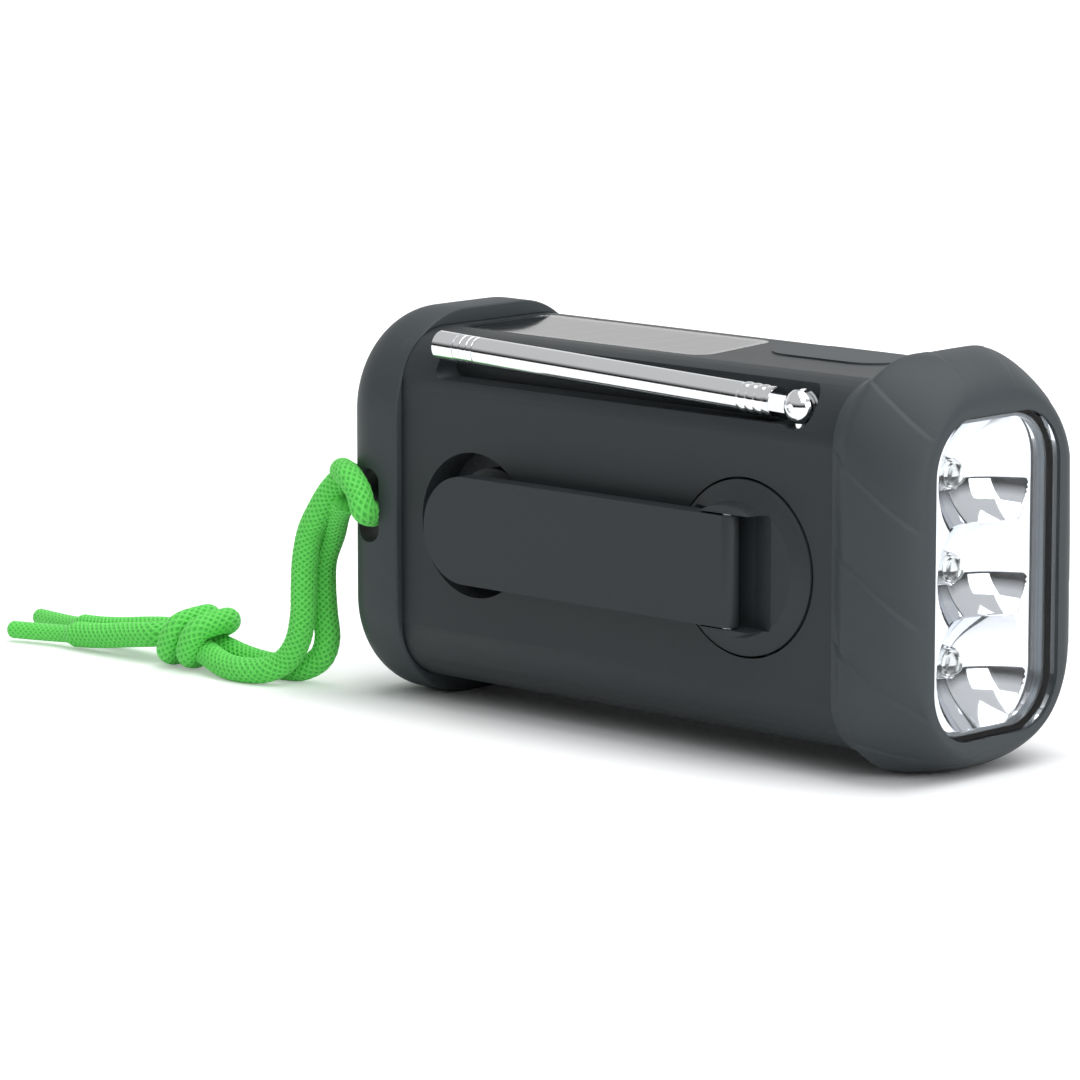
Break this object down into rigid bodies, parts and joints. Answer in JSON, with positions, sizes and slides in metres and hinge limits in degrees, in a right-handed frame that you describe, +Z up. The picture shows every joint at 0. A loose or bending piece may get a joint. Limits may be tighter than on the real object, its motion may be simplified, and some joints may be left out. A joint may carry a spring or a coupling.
{
  "type": "emergency radio",
  "caption": "Pocket crank radio with a torch head, folding crank, telescopic antenna, solar window and a green cord lanyard.",
  "frame": {"origin": "bottom centre of the radio without its lanyard", "axes": "+X along the radio towards the torch, crank on the -Y side, +Z up"},
  "size_m": [0.2092, 0.0596, 0.0673],
  "materials": {
    "casing_plastic": "fine matte moulded texture",
    "bumper_rubber": "soft matte rubber coat",
    "seal_rubber": "smooth",
    "lens_clear": "clear polished",
    "solar_clear": "glossy clear",
    "reflector_chrome": "vacuum metallised",
    "led_lens": "clear domes",
    "circuit_board": "solder mask",
    "solar_silicon": "dark silicon",
    "antenna_chrome": "polished",
    "steel": "plain",
    "rotor_magnet": "dark",
    "bush_bronze": "plain",
    "coil_copper": "enamelled wire",
    "gear_plastic": "plain",
    "speaker_metal": "plain",
    "speaker_paper": "pressed paper",
    "component_plastic": "plain",
    "cell_wrap": "shrink wrap",
    "lanyard_cord": "braided cord"
  },
  "bodies": {
    "housing": {"rear_shell": "casing_plastic", "front_shell": "casing_plastic", "tail_bumper": "bumper_rubber", "torch_head": "bumper_rubber", "lens": "lens_clear", "solar_window": "solar_clear", "antenna_foot": "antenna_chrome", "lens_seal": "seal_rubber", "reflector": "reflector_chrome", "leds": "led_lens", "led_board": "circuit_board", "solar_cell": "solar_silicon", "crank_bush": "bush_bronze", "idler_pin": "steel", "gear_plate": "steel", "plate_screws": "steel", "dynamo_can": "steel", "stator_coil": "coil_copper", "speaker_frame": "speaker_metal", "speaker_cone": "speaker_paper", "main_board": "circuit_board", "tuning_capacitor": "component_plastic", "volume_pot": "component_plastic", "band_switch": "component_plastic", "torch_switch": "component_plastic", "board_screws": "steel", "charge_socket": "steel", "battery_cell": "cell_wrap", "case_screws": "steel", "antenna_pin": "antenna_chrome", "lanyard_hitch": "lanyard_cord", "lanyard_strand_a": "lanyard_cord", "lanyard_strand_b": "lanyard_cord", "lanyard_knot": "lanyard_cord", "lanyard_tail_a": "lanyard_cord", "lanyard_tail_b": "lanyard_cord"},
    "crank": {"crank_hub": "casing_plastic", "shaft_clip": "steel", "crank_pin": "steel", "crank_gear": "gear_plastic"},
    "arm": {"crank_arm": "casing_plastic", "knob_clip": "steel"},
    "knob": {"crank_knob": "bumper_rubber"},
    "idler": {"idler_gear": "gear_plastic"},
    "rotor": {"dynamo_rotor": "rotor_magnet"},
    "antenna": {"antenna_barrel": "antenna_chrome"},
    "antenna_2": {"antenna_section_2": "antenna_chrome"},
    "antenna_3": {"antenna_section_3": "antenna_chrome"},
    "antenna_4": {"antenna_section_4": "antenna_chrome", "antenna_tip": "antenna_chrome"},
    "torch_key": {"torch_button": "bumper_rubber"},
    "tuning": {"tuning_knob": "casing_plastic"},
    "volume": {"volume_knob": "casing_plastic"},
    "band": {"band_slider": "casing_plastic"},
    "port_flap": {"port_cover": "bumper_rubber"}
  },
  "joints": [
    {"name": "crank_spin", "type": "hinge", "parent": "housing", "child": "crank", "pos_m": [0.0285, -0.022, 0.0323], "axis": [0, 1, 0], "continuous": true},
    {"name": "idler_spin", "type": "hinge", "parent": "housing", "child": "idler", "pos_m": [0.0093, -0.011, 0.0323], "axis": [0, 1, 0], "continuous": true},
    {"name": "rotor_spin", "type": "hinge", "parent": "housing", "child": "rotor", "pos_m": [-0.0081, -0.005, 0.04041], "axis": [0, 1, 0], "continuous": true},
    {"name": "arm_fold", "type": "hinge", "parent": "crank", "child": "arm", "pos_m": [0.0285, -0.0258, 0.0323], "axis": [0, 0, 1], "range_deg": [0, 180]},
    {"name": "knob_spin", "type": "hinge", "parent": "arm", "child": "knob", "pos_m": [-0.029, -0.025, 0.0323], "axis": [0, 1, 0], "continuous": true},
    {"name": "antenna_fold", "type": "hinge", "parent": "housing", "child": "antenna", "pos_m": [0.0383, -0.0196, 0.0589], "axis": [0, 1, 0], "range_deg": [0, 120]},
    {"name": "antenna_pull_2", "type": "slide", "parent": "antenna", "child": "antenna_2", "axis": [-0.999, -0.0244, 0.0366], "range_m": [0, 0.06]},
    {"name": "antenna_pull_3", "type": "slide", "parent": "antenna_2", "child": "antenna_3", "axis": [-0.999, -0.0244, 0.0366], "range_m": [0, 0.06]},
    {"name": "antenna_pull_4", "type": "slide", "parent": "antenna_3", "child": "antenna_4", "axis": [-0.999, -0.0244, 0.0366], "range_m": [0, 0.06]},
    {"name": "torch_press", "type": "slide", "parent": "housing", "child": "torch_key", "axis": [0, 0, -1], "range_m": [0, 0.0008], "stiffness_N_per_m": 1500, "springref_m": -0.0002},
    {"name": "tuning_turn", "type": "hinge", "parent": "housing", "child": "tuning", "pos_m": [0.0275, 0.022, 0.0436], "axis": [0, 1, 0], "range_deg": [-150, 150]},
    {"name": "volume_turn", "type": "hinge", "parent": "housing", "child": "volume", "pos_m": [0.0085, 0.022, 0.0436], "axis": [0, 1, 0], "range_deg": [0, 280]},
    {"name": "band_slide", "type": "slide", "parent": "housing", "child": "band", "axis": [1, 0, 0], "range_m": [0, 0.004]},
    {"name": "port_open", "type": "hinge", "parent": "housing", "child": "port_flap", "pos_m": [0.0305, 0.02155, 0.01755], "axis": [1, 0, 0], "range_deg": [0, 110]}
  ],
  "couplings": [
    {"joint": "idler_spin", "follows": "crank_spin", "ratio": -3},
    {"joint": "rotor_spin", "follows": "crank_spin", "ratio": 9}
  ]
}
